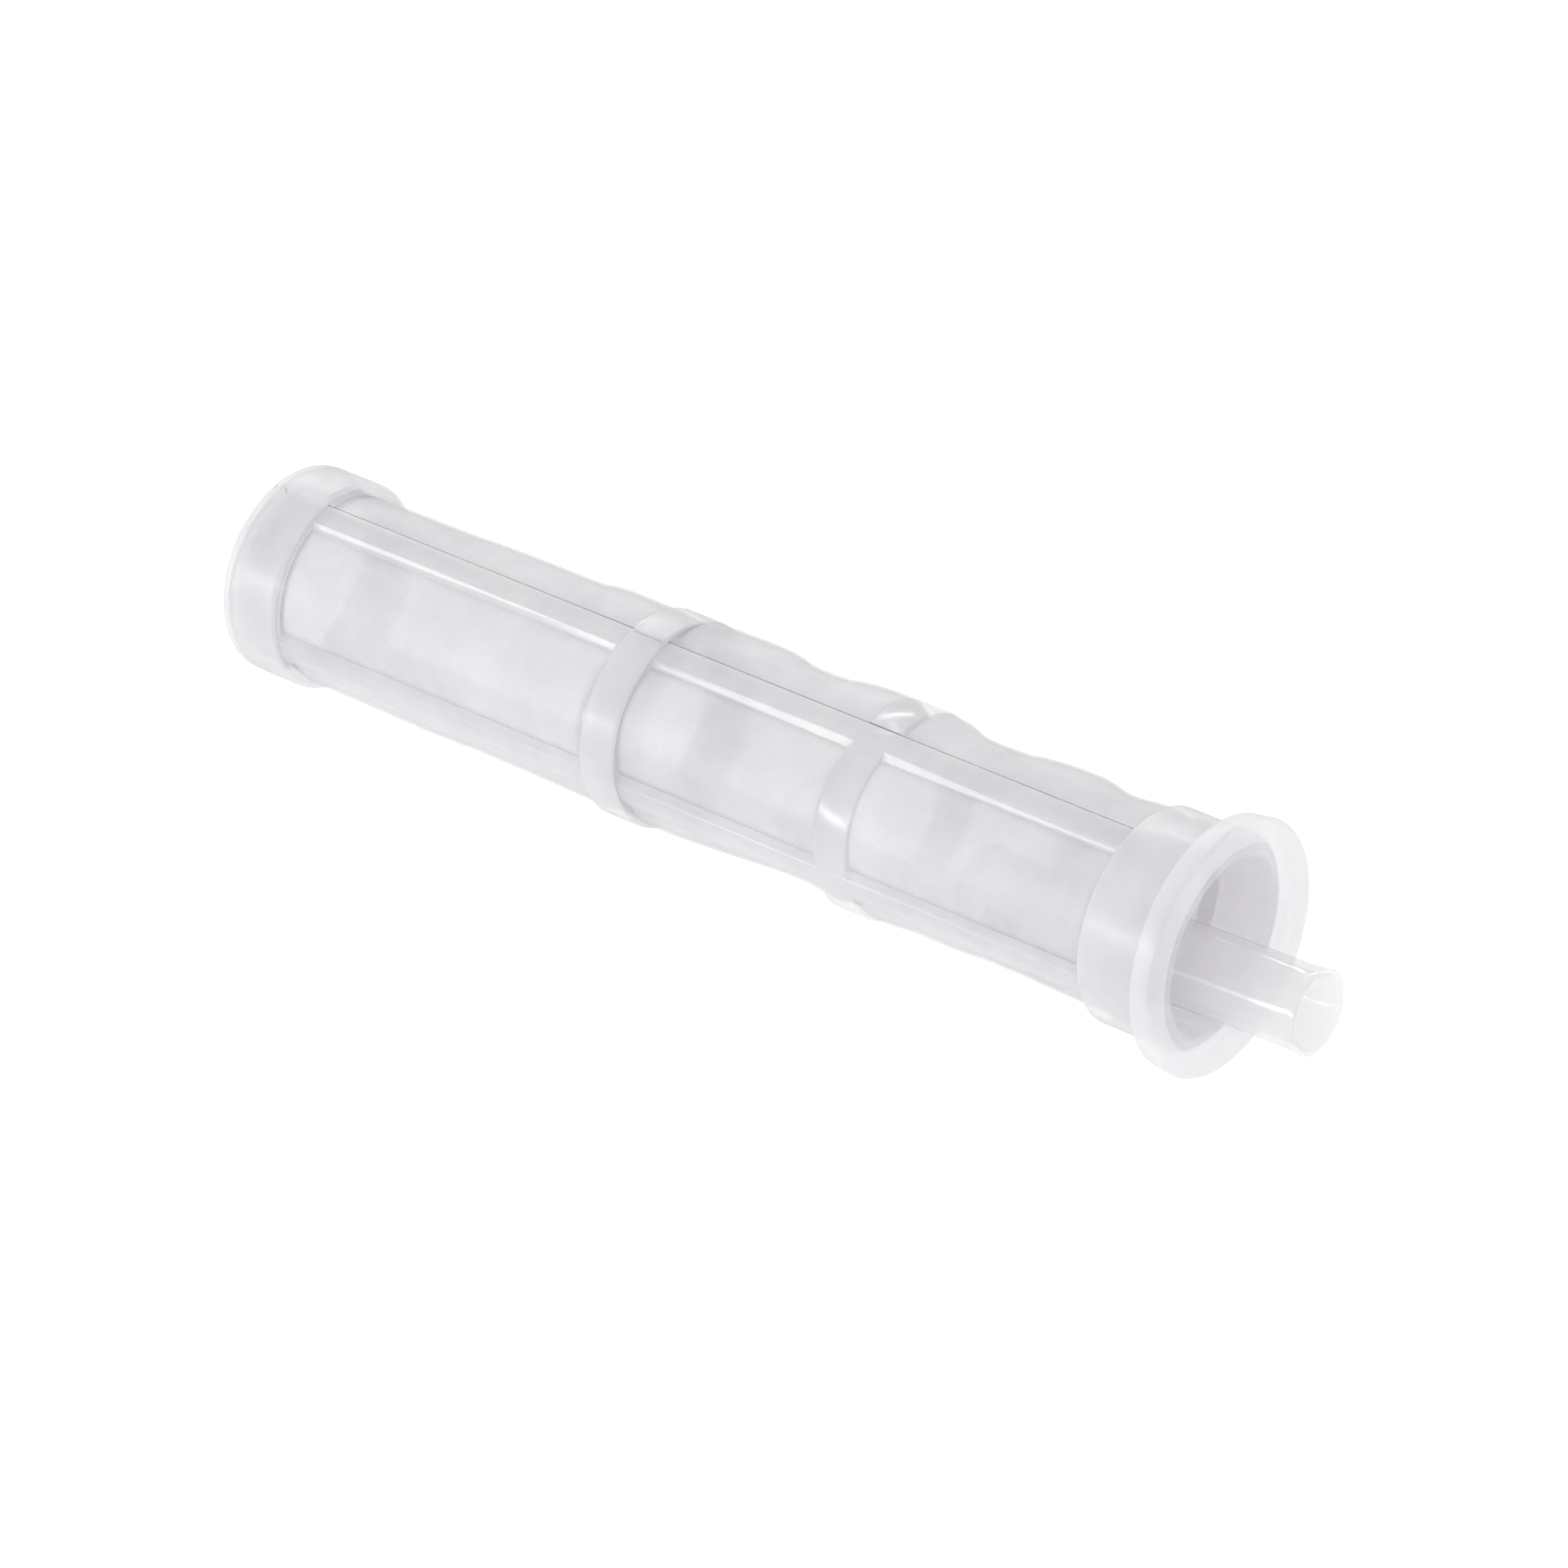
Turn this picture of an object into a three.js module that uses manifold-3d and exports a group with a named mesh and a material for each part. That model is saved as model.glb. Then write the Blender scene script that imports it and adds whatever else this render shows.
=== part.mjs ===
// A trap-filter tip for a dental saliva ejector line, lying on its side: a moulded cage in two halves,
// lined with fine nylon mesh, closed by a cap at one end and by a flanged mouth at the other. A bell-mouthed
// inlet tube stands out of the mouth, held off centre in a soft seal plug, and brings in what the mesh keeps.
//
// Units are millimetres. The filter's axis runs along X, from the closed end towards the mouth, and +Z is up.
// Stations (s) are measured along the axis from the closed end. Angles round the axis start at -Y and grow
// towards +Z. The origin is under the middle of the overall length, on the surface that the flange lies on.
import * as THREE from "three";
import Module from "manifold-3d";
import { mergeVertices } from "three/addons/utils/BufferGeometryUtils.js";

const wasm = await Module();
wasm.setup();

// ---- driving dimensions ----
const RIB_R = 8.05; // outside of the ribs
const BODY_LENGTH = 90.8; // closed end to the flange's front face
const GAP = 0.05; // running gap between pieces that touch
const EDGE = 0.2; // small rounding on moulded edges
const SIDES = 40; // facets round a turned piece

// Radii of the cage.
const FAR_COLLAR_R = 8.5;
const COUPLING_R = 8.32;
const NEAR_COLLAR_R = 8.4;
const RIB_THICKNESS = 0.6;
const CAGE_BORE_R = RIB_R - RIB_THICKNESS;

// Ribs and windows. The ribs' long edges are bevelled, so that each rib is wider at its foot than on top.
const RIB_COUNT = 4;
const RIB_PHASE_DEG = 72; // where the first rib stands
const RIB_FOOT_DEG = 22.7;
const RIB_BEVEL_DEG = 4.5;
const WINDOW_SPAN_DEG = 360 / RIB_COUNT - RIB_FOOT_DEG;

// Stations along the axis.
const CAP_RIM = 1.05;
const FAR_COLLAR_END = 5.6;
const COUPLING = [36.6, 39.9];
const MID_RING = [58.9, 61.8];
const NEAR_COLLAR_START = 83.1;
const SOCKET_DEPTH = 2.5; // how far the far cage stands in the coupling ring
const SOCKET_R = 7.8;
const FAR_CAGE_END = COUPLING[0] + SOCKET_DEPTH;
const END_HOOP = 0.3; // the far cage's end hoop shows this much before the coupling ring

// Mesh sleeves.
const MESH_THICKNESS = 0.2;
const MESH_R = CAGE_BORE_R - GAP; // outside of the mesh where it lies under a rib or a ring
const MESH_BULGE = 0.5; // how far it stands out in the middle of a window
const MESH_BORE_R = MESH_R - MESH_THICKNESS;
const MESH_END = 84.5;

// Mouth piece: flange, barrel in the near collar, and a spigot that pinches the mesh against the collar.
const FLANGE_R = 10.0;
const FLANGE_BACK_R = 9.75;
const FLANGE_THICKNESS = 2.0;
const COLLAR_SEAT_DEPTH = 0.2; // shallow rebate in the flange's back, where the near collar's end sits
const MOUTH_BORE_R = 6.75;
const MOUTH_LIP = 0.85; // rounding of the bore's front edge
const BARREL_R = 7.8;
const SPIGOT_R = MESH_BORE_R - GAP;
const SPIGOT_BORE_R = SPIGOT_R - 0.4;
const SPIGOT_START = 77.9;
const SPIGOT_LIP = 0.5; // stop behind the seal plug
const SPIGOT_LIP_BORE_R = 6.25;

// Inlet tube and its seal plug.
const TUBE_R = 3.15;
const TUBE_BORE_R = 2.65;
const TUBE_MOUTH_R = 3.32;
const TUBE_TAIL_R = 3.4; // stop bead on the inner end
const TUBE_STAND_OUT = 7.7;
const TUBE_INSIDE = 22.5; // length behind the flange's front face
const TUBE_DROP = 2.55; // how far below the axis it leaves the flange's face
const TUBE_TILT = THREE.MathUtils.degToRad(2); // its mouth points up by this much
const TUBE_SIDES = 24;
const PLUG_THICKNESS = 3.0;
const PLUG_START = SPIGOT_START + SPIGOT_LIP + GAP;

const OVERALL = BODY_LENGTH + TUBE_STAND_OUT * Math.cos(TUBE_TILT) + TUBE_MOUTH_R * Math.sin(TUBE_TILT);

// ---- materials ----
const cageMaterial = new THREE.MeshStandardMaterial({ color: 0xdedce2, roughness: 0.35, metalness: 0 });
const meshMaterial = new THREE.MeshStandardMaterial({ color: 0xd9d7dd, roughness: 0.6, metalness: 0 });
const sealMaterial = new THREE.MeshStandardMaterial({ color: 0xd2d1d8, roughness: 0.5, metalness: 0 });
const tubeMaterial = new THREE.MeshStandardMaterial({ color: 0xe4e3e8, roughness: 0.15, metalness: 0 });

// ---- helpers ----

// Turns an outline of [station, radius] points round the X axis. The outline runs anticlockwise with the
// station to the right and the radius up, and either closes on itself or starts and ends on the axis.
// Half a facet of turn puts a flat, not a corner, at the bottom.
function turned(outline, sides = SIDES) {
  const points = outline.map(([s, r]) => new THREE.Vector2(r, s)).reverse();
  const touchesAxis = outline[0][1] === 0;
  if (!touchesAxis) points.push(points[0].clone());
  return new THREE.LatheGeometry(points, sides, Math.PI / sides).rotateZ(-Math.PI / 2);
}

function toSolid(geometry) {
  const bare = geometry.clone();
  bare.deleteAttribute("normal");
  bare.deleteAttribute("uv");
  const merged = mergeVertices(bare, 1e-4);
  return new wasm.Manifold(
    new wasm.Mesh({
      numProp: 3,
      vertProperties: new Float32Array(merged.attributes.position.array),
      triVerts: new Uint32Array(merged.index.array),
    }),
  );
}

function toGeometry(solid) {
  const mesh = solid.getMesh();
  const geometry = new THREE.BufferGeometry();
  geometry.setAttribute("position", new THREE.BufferAttribute(mesh.vertProperties, 3));
  geometry.setIndex(new THREE.BufferAttribute(mesh.triVerts, 1));
  return geometry;
}

// Outline points of a quarter-round edge: centre, radius and the two angles in degrees.
function roundEdge(s, r, radius, fromDeg, toDeg, steps = 4) {
  return Array.from({ length: steps + 1 }, (_, i) => {
    const a = THREE.MathUtils.degToRad(fromDeg + ((toDeg - fromDeg) * i) / steps);
    return [s + radius * Math.cos(a), r + radius * Math.sin(a)];
  });
}

// A cutter for one window: the space between two bevelled ribs, from one station to another.
function windowCutter(index, from, to) {
  const foot = THREE.MathUtils.degToRad(RIB_PHASE_DEG + RIB_FOOT_DEG / 2 + (index * 360) / RIB_COUNT);
  const span = THREE.MathUtils.degToRad(WINDOW_SPAN_DEG);
  const bevel = THREE.MathUtils.degToRad(RIB_BEVEL_DEG);
  const margin = 1; // how far the cutter runs past the wall, inside and outside
  const inside = CAGE_BORE_R - margin;
  const outside = RIB_R + margin;
  const [start, end] = [Math.PI - foot, Math.PI - foot - span];
  const sector = new THREE.Shape();
  const lineTo = (r, angle) => sector.lineTo(r * Math.cos(angle), r * Math.sin(angle));
  sector.moveTo(inside * Math.cos(start), inside * Math.sin(start));
  lineTo(CAGE_BORE_R, start);
  lineTo(RIB_R, start + bevel);
  lineTo(outside, start + bevel);
  sector.absarc(0, 0, outside, start + bevel, end - bevel, true);
  lineTo(RIB_R, end - bevel);
  lineTo(CAGE_BORE_R, end);
  lineTo(inside, end);
  sector.absarc(0, 0, inside, end, start, false);
  const depth = to - from;
  const cutter = new THREE.ExtrudeGeometry(sector, { depth, bevelEnabled: false, curveSegments: 8 });
  const acrossYZ = new THREE.Matrix4().makeBasis(
    new THREE.Vector3(0, 1, 0),
    new THREE.Vector3(0, 0, 1),
    new THREE.Vector3(1, 0, 0),
  );
  return cutter.applyMatrix4(acrossYZ).translate(from, 0, 0);
}

// Cuts one row of windows for each pair of stations.
function withWindows(geometry, rows) {
  let solid = toSolid(geometry);
  for (const [from, to] of rows) {
    for (let i = 0; i < RIB_COUNT; i += 1) solid = solid.subtract(toSolid(windowCutter(i, from, to)));
  }
  return toGeometry(solid);
}

// Angles round a mesh sleeve: even steps across each rib and each window, so that the edges meet the ribs.
function sleeveAngles() {
  const ribSteps = 3;
  const windowSteps = 8;
  const angles = [];
  for (let i = 0; i < RIB_COUNT; i += 1) {
    const ribStart = RIB_PHASE_DEG - RIB_FOOT_DEG / 2 + (i * 360) / RIB_COUNT;
    const windowStart = ribStart + RIB_FOOT_DEG;
    for (let k = 0; k < ribSteps; k += 1) {
      angles.push({ deg: ribStart + (RIB_FOOT_DEG * k) / ribSteps, across: 0 });
    }
    for (let k = 0; k < windowSteps; k += 1) {
      const across = k / windowSteps;
      angles.push({ deg: windowStart + WINDOW_SPAN_DEG * across, across });
    }
  }
  return angles;
}

// A thin sleeve of mesh that lies flat under the ribs and rings and stands out a little in each window.
function meshSleeve(from, to, windows) {
  const windowSteps = 5;
  const stations = [{ s: from, along: 0 }];
  for (const [start, end] of windows) {
    for (let k = 0; k <= windowSteps; k += 1) {
      stations.push({ s: start + ((end - start) * k) / windowSteps, along: k / windowSteps });
    }
  }
  stations.push({ s: to, along: 0 });
  const angles = sleeveAngles();
  const positions = [];
  for (const base of [MESH_R, MESH_BORE_R]) {
    for (const { s, along } of stations) {
      for (const { deg, across } of angles) {
        const pillow = Math.sqrt(Math.max(0, Math.sin(Math.PI * across) * Math.sin(Math.PI * along)));
        const r = base + MESH_BULGE * pillow;
        const a = THREE.MathUtils.degToRad(deg);
        positions.push(s, -r * Math.cos(a), r * Math.sin(a));
      }
    }
  }
  const rowLength = angles.length;
  const layer = stations.length * rowLength;
  const index = [];
  const quad = (a, b, c, d) => index.push(a, b, c, a, c, d);
  for (let j = 0; j < rowLength; j += 1) {
    const next = (j + 1) % rowLength;
    for (let i = 0; i + 1 < stations.length; i += 1) {
      const near = i * rowLength;
      const far = near + rowLength;
      quad(near + j, far + j, far + next, near + next);
      quad(layer + near + j, layer + near + next, layer + far + next, layer + far + j);
    }
    const last = layer - rowLength;
    quad(j, next, layer + next, layer + j);
    quad(last + j, layer + last + j, layer + last + next, last + next);
  }
  const geometry = new THREE.BufferGeometry();
  geometry.setAttribute("position", new THREE.Float32BufferAttribute(positions, 3));
  geometry.setIndex(index);
  return geometry;
}

// ---- pieces ----

// Closed end: a disc with a rounded rim, and a spigot that pinches the mesh against the far collar.
function endCap() {
  const rimRound = 0.9;
  const rimStep = 0.1;
  const floor = CAP_RIM + 0.4;
  const panelRecess = 0.35;
  const panelR = 5.6;
  const panelSlope = 0.4;
  const spigotEnd = FAR_COLLAR_END - 0.3;
  const spigotBore = SPIGOT_R - 0.6;
  return turned([
    [floor, 0],
    [floor, spigotBore],
    [spigotEnd, spigotBore],
    [spigotEnd, SPIGOT_R],
    [CAP_RIM, SPIGOT_R],
    [CAP_RIM, FAR_COLLAR_R - rimStep],
    ...roundEdge(rimRound, FAR_COLLAR_R - rimRound, rimRound, 90, 180, 5),
    [0, panelR + panelSlope],
    [panelRecess, panelR],
    [panelRecess, 0],
  ]);
}

// Far half of the cage: collar, four ribs, and an end hoop that stands in the coupling ring.
function farCage() {
  const start = CAP_RIM + GAP;
  const ribEnd = COUPLING[0] - GAP;
  const shoulder = 0.3;
  const blank = turned([
    [start, CAGE_BORE_R],
    [FAR_CAGE_END, CAGE_BORE_R],
    [FAR_CAGE_END, SOCKET_R - GAP],
    [ribEnd, SOCKET_R - GAP],
    [ribEnd, RIB_R],
    [FAR_COLLAR_END, RIB_R],
    ...roundEdge(FAR_COLLAR_END - shoulder, FAR_COLLAR_R - shoulder, shoulder, 0, 90, 3),
    ...roundEdge(start + EDGE, FAR_COLLAR_R - EDGE, EDGE, 90, 180, 2),
  ]);
  return withWindows(blank, [[FAR_COLLAR_END, ribEnd - END_HOOP]]);
}

// Near half of the cage: coupling ring with its socket, ribs, mid ring and near collar.
function nearCage() {
  const socketFloor = FAR_CAGE_END + GAP;
  const collarEnd = BODY_LENGTH - FLANGE_THICKNESS + COLLAR_SEAT_DEPTH - GAP;
  const barrelSeat = MESH_END + GAP;
  const blank = turned([
    [COUPLING[0], SOCKET_R],
    [socketFloor, SOCKET_R],
    [socketFloor, CAGE_BORE_R],
    [barrelSeat, CAGE_BORE_R],
    [barrelSeat, BARREL_R + GAP],
    [collarEnd, BARREL_R + GAP],
    [collarEnd, NEAR_COLLAR_R],
    ...roundEdge(NEAR_COLLAR_START + EDGE, NEAR_COLLAR_R - EDGE, EDGE, 90, 180, 2),
    [NEAR_COLLAR_START, RIB_R],
    [COUPLING[1], RIB_R],
    ...roundEdge(COUPLING[1] - EDGE, COUPLING_R - EDGE, EDGE, 0, 90, 2),
    ...roundEdge(COUPLING[0] + EDGE, COUPLING_R - EDGE, EDGE, 90, 180, 2),
  ]);
  return withWindows(blank, [
    [COUPLING[1], MID_RING[0]],
    [MID_RING[1], NEAR_COLLAR_START],
  ]);
}

// Loose hoop inside the coupling: it holds the ends of both mesh sleeves out against the cage.
function centreHoop() {
  const overlap = 2.2; // reach into each half
  const wall = 0.5;
  return turned([
    [FAR_CAGE_END - overlap, SPIGOT_R - wall],
    [FAR_CAGE_END + overlap, SPIGOT_R - wall],
    [FAR_CAGE_END + overlap, SPIGOT_R],
    [FAR_CAGE_END - overlap, SPIGOT_R],
  ]);
}

function farMeshSleeve() {
  const end = FAR_CAGE_END - GAP;
  return meshSleeve(CAP_RIM + 2 * GAP, end, [[FAR_COLLAR_END, COUPLING[0] - GAP - END_HOOP]]);
}

function nearMeshSleeve() {
  return meshSleeve(FAR_CAGE_END + 2 * GAP, MESH_END, [
    [COUPLING[1], MID_RING[0]],
    [MID_RING[1], NEAR_COLLAR_START],
  ]);
}

// Mouth piece: a flange with a rounded lip round its bore, a barrel and a lipped spigot.
function mouthFlange() {
  const back = BODY_LENGTH - FLANGE_THICKNESS;
  const rimRound = 0.4;
  const barrelStart = MESH_END + 2 * GAP;
  const seat = back + COLLAR_SEAT_DEPTH;
  return turned([
    [SPIGOT_START, SPIGOT_LIP_BORE_R],
    [SPIGOT_START + SPIGOT_LIP, SPIGOT_LIP_BORE_R],
    [SPIGOT_START + SPIGOT_LIP, SPIGOT_BORE_R],
    [barrelStart, SPIGOT_BORE_R],
    [barrelStart, MOUTH_BORE_R],
    ...roundEdge(BODY_LENGTH - MOUTH_LIP, MOUTH_BORE_R + MOUTH_LIP, MOUTH_LIP, -90, 0),
    ...roundEdge(BODY_LENGTH - rimRound, FLANGE_R - rimRound, rimRound, 0, 90, 3),
    [back, FLANGE_BACK_R],
    [back, NEAR_COLLAR_R + GAP],
    [seat, NEAR_COLLAR_R + GAP],
    [seat, BARREL_R],
    [barrelStart, BARREL_R],
    [barrelStart, SPIGOT_R],
    [SPIGOT_START, SPIGOT_R],
  ]);
}

// The inlet tube's own axis: it crosses the flange's face below the filter's axis, and its mouth points up.
function placeOnTubeAxis(object) {
  object.position.set(BODY_LENGTH, 0, -TUBE_DROP);
  object.rotation.y = -TUBE_TILT;
  return object;
}

function inletTube() {
  const start = -TUBE_INSIDE;
  const end = TUBE_STAND_OUT;
  const bellLength = 1.6;
  const bellStart = end - bellLength;
  const bellMiddle = end - bellLength / 3;
  const flare = 0.06;
  const mouthWall = 0.15;
  const bead = [start + 0.3, start + 0.9];
  const beadEnd = start + 1.2;
  return turned(
    [
      [start, TUBE_BORE_R],
      [bellStart, TUBE_BORE_R],
      [bellMiddle, TUBE_BORE_R + flare],
      [end, TUBE_MOUTH_R - mouthWall],
      [end, TUBE_MOUTH_R],
      [bellMiddle, TUBE_R + flare],
      [bellStart, TUBE_R],
      [beadEnd, TUBE_R],
      [bead[1], TUBE_TAIL_R],
      [bead[0], TUBE_TAIL_R],
      [start, TUBE_R],
    ],
    TUBE_SIDES,
  );
}

// Soft disc in the spigot, with the tube's slanted hole off its centre.
function sealPlug() {
  const plugR = SPIGOT_BORE_R - GAP;
  const plugEnd = PLUG_START + PLUG_THICKNESS;
  const holeR = TUBE_R + GAP;
  const disc = turned([[plugEnd, 0], [plugEnd, plugR], [PLUG_START, plugR], [PLUG_START, 0]]);
  const hole = turned([[0, 0], [0, holeR], [-TUBE_INSIDE, holeR], [-TUBE_INSIDE, 0]], TUBE_SIDES);
  const drill = placeOnTubeAxis(new THREE.Mesh(hole));
  drill.updateMatrixWorld();
  return toGeometry(toSolid(disc).subtract(toSolid(drill.geometry.applyMatrix4(drill.matrixWorld))));
}

// ---- assembly ----

function piece(name, geometry, material) {
  const mesh = new THREE.Mesh(geometry, material);
  mesh.name = name;
  return mesh;
}

const filter = new THREE.Group();
filter.position.set(-OVERALL / 2, 0, FLANGE_R * Math.cos(Math.PI / SIDES));
filter.add(
  piece("end_cap", endCap(), cageMaterial),
  piece("far_cage", farCage(), cageMaterial),
  piece("near_cage", nearCage(), cageMaterial),
  piece("centre_hoop", centreHoop(), cageMaterial),
  piece("far_mesh_sleeve", farMeshSleeve(), meshMaterial),
  piece("near_mesh_sleeve", nearMeshSleeve(), meshMaterial),
  piece("mouth_flange", mouthFlange(), cageMaterial),
  piece("seal_plug", sealPlug(), sealMaterial),
  placeOnTubeAxis(piece("inlet_tube", inletTube(), tubeMaterial)),
);

export default filter;
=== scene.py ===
# %% [markdown]
# # A filter tip for a saliva ejector
#
# The object is a slim moulded cage, closed at one end and flanged at the other, lined with fine nylon
# mesh. A small bell-mouthed tube stands out of the mouth, held off centre in a soft plug. Everything is
# one family of milky, almost white plastics, so the shape has to be told by soft shading and a few sharp
# highlights.
#
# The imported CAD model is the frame: it says where everything is, and Blender only makes what is seen.

# %% Load the frame
import math

import bmesh
import bpy
from mathutils import Matrix, Vector


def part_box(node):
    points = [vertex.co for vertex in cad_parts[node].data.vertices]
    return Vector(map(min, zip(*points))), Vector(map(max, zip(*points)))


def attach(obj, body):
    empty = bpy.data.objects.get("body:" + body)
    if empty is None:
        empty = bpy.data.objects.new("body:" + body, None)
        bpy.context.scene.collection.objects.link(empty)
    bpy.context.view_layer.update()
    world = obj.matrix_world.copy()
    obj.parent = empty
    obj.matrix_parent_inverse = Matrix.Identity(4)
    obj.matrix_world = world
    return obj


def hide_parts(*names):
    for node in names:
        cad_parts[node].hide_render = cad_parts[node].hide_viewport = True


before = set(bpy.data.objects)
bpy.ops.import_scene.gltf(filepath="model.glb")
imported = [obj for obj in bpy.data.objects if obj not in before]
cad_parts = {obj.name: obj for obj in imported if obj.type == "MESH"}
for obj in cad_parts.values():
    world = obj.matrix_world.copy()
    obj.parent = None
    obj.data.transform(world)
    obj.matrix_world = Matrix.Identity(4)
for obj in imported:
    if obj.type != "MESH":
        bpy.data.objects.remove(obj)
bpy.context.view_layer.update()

# %% [markdown]
# ## Two places to measure from
#
# Every round piece shares one axis, so it is easiest to build each piece on the X axis, with its distance
# from the closed end as x, and to move it home in one step at the end. A piece's place then sits in its
# mesh and its object stays at the origin, which is what patterns on Object coordinates expect.

# %% The filter's own axis
MM = 0.001
far_low, far_high = (Vector(corner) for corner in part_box("end_cap"))
collar_low, collar_high = (Vector(corner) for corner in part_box("far_cage"))
AXIS_HEIGHT = (collar_low.z + collar_high.z) / 2
FAR_END = far_low.x
HOME = Matrix.Translation((FAR_END, 0, AXIS_HEIGHT))
print(f"axis {AXIS_HEIGHT / MM:.2f} mm up, closed end at x = {FAR_END / MM:.2f} mm")

# %% [markdown]
# ## The sizes
#
# These are the cage's own sizes, in millimetres along the axis (stations) and out from it (radii).

# %% Stations and radii
BODY_LENGTH = 90.8
CAP_RIM = 1.05
FAR_COLLAR_END = 5.6
COUPLING = (36.6, 39.9)
MID_RING = (58.9, 61.8)
NEAR_COLLAR_START = 83.1
FLANGE_BACK = 88.8
COLLAR_SEAT = 89.0  # bottom of the rebate in the flange's back, where the near collar ends
MESH_END = 84.5

RIB_R = 8.05
CAGE_BORE_R = 7.45
FAR_COLLAR_R = 8.5
COUPLING_R = 8.32
NEAR_COLLAR_R = 8.4
FLANGE_R = 9.97
FLANGE_BACK_R = 9.72
MOUTH_BORE_R = 6.75
MESH_R = 7.4

RIB_COUNT = 4
RIB_PHASE = math.radians(72)
RIB_FOOT = math.radians(22.7)
RIB_BEVEL = math.radians(4.5)
RIB_EDGE_ANGLE = RIB_PHASE + RIB_FOOT / 2 - RIB_BEVEL
# Width of the painted shade line along the top rib's upper edge, as an angle about the axis
PAINTED_LINE_WIDTH = math.radians(0.9)

# %% [markdown]
# ## Turning a piece on the lathe
#
# A turned piece is an outline spun round the axis. The Spin operator and the Screw modifier do this too,
# but a short loop gives exact control over the seam and over which way the faces point. The outline runs
# clockwise as seen with the axis to the right and the radius up, so every face points out.

# %% Lathe helpers
TURN_STEPS = 144


def arc(s, r, radius, from_deg, to_deg, steps=6):
    """Points of a rounded edge about (s, r)."""
    for i in range(steps + 1):
        a = math.radians(from_deg + (to_deg - from_deg) * i / steps)
        yield s + radius * math.cos(a), r + radius * math.sin(a)


def turned(name, outline, steps=TURN_STEPS):
    """Spins a closed outline of (station, radius) points, in millimetres, round the X axis."""
    bm = bmesh.new()
    rings = []
    for s, r in outline:
        if r == 0:
            rings.append([bm.verts.new((s * MM, 0, 0))])
            continue
        angles = (2 * math.pi * k / steps for k in range(steps))
        rings.append([bm.verts.new((s * MM, -r * MM * math.cos(a), r * MM * math.sin(a))) for a in angles])
    for first, second in zip(rings, rings[1:] + rings[:1]):
        if len(first) == 1 and len(second) == 1:
            continue
        for k in range(steps):
            corners = [first[k % len(first)], second[k % len(second)],
                       second[(k + 1) % len(second)], first[(k + 1) % len(first)]]
            bm.faces.new(list(dict.fromkeys(corners)))
    bmesh.ops.recalc_face_normals(bm, faces=bm.faces)
    mesh = bpy.data.meshes.new(name)
    bm.to_mesh(mesh)
    bm.free()
    return mesh


# %% [markdown]
# ## From a working mesh to a finished piece
#
# Booleans, bevels and Geometry Nodes are all easiest as modifiers. A finished piece must be a plain mesh,
# so the evaluated result is copied out and the working object is thrown away.

# %% Finishing helpers
def working_object(mesh, name):
    obj = bpy.data.objects.new(name, mesh)
    bpy.context.scene.collection.objects.link(obj)
    return obj


def evaluated_mesh(obj):
    """The object's mesh with its modifiers applied. The object itself is removed."""
    bpy.context.view_layer.update()
    mesh = bpy.data.meshes.new_from_object(obj.evaluated_get(bpy.context.evaluated_depsgraph_get()))
    bpy.data.objects.remove(obj)
    return mesh


def united(name, meshes):
    """One closed mesh made of several closed ones that run into each other."""
    base = working_object(meshes[0], name)
    others = [working_object(mesh, f"{name}_{i}") for i, mesh in enumerate(meshes[1:])]
    for other in others:
        union = base.modifiers.new("join", "BOOLEAN")
        union.operation = "UNION"
        union.solver = "EXACT"
        union.object = other
    mesh = evaluated_mesh(base)
    for other in others:
        bpy.data.objects.remove(other)
    return mesh


def softened(mesh, width, angle_deg=35, segments=2):
    """Rounds every edge that is sharper than the given angle."""
    obj = working_object(mesh, "softened")
    bevel = obj.modifiers.new("soft edges", "BEVEL")
    bevel.width = width * MM
    bevel.segments = segments
    bevel.limit_method = "ANGLE"
    bevel.angle_limit = math.radians(angle_deg)
    return evaluated_mesh(obj)


def finished(name, mesh, material, slot, body, *nodes, sharp_deg=40, home=HOME):
    """Puts a mesh in its place as a named piece that rides a body and stands for CAD nodes."""
    mesh.transform(home)
    mesh.name = name
    mesh.materials.clear()
    mesh.materials.append(material)
    mesh.shade_smooth()
    mesh.set_sharp_from_angle(angle=math.radians(sharp_deg))
    piece = working_object(mesh, name)
    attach(piece, body)
    if nodes:
        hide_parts(*nodes)
    print(f"{name}: {len(mesh.polygons)} faces")
    return piece


# %% [markdown]
# ## Formulas in nodes
#
# Shader trees and Geometry Nodes trees share the Math node. One small helper lets a formula be written as
# a chain of calls, for materials and for shapes alike.

# %% Node helpers
def feed(tree, socket, value):
    """Links a socket to another one, or sets its value."""
    if isinstance(value, bpy.types.NodeSocket):
        tree.links.new(value, socket)
    else:
        socket.default_value = value


def formula(tree):
    """Returns a function that adds one Math node and gives its result."""
    def step(operation, *values):
        node = tree.nodes.new("ShaderNodeMath")
        node.operation = operation
        for socket, value in zip(node.inputs, values):
            feed(tree, socket, value)
        return node.outputs[0]
    return step


def add_node(tree, kind, inputs=None, **settings):
    """Adds a node, with its settings and inputs by name."""
    node = tree.nodes.new(kind)
    for key, value in settings.items():
        setattr(node, key, value)
    for key, value in (inputs or {}).items():
        feed(tree, node.inputs[key], value)
    return node
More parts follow.
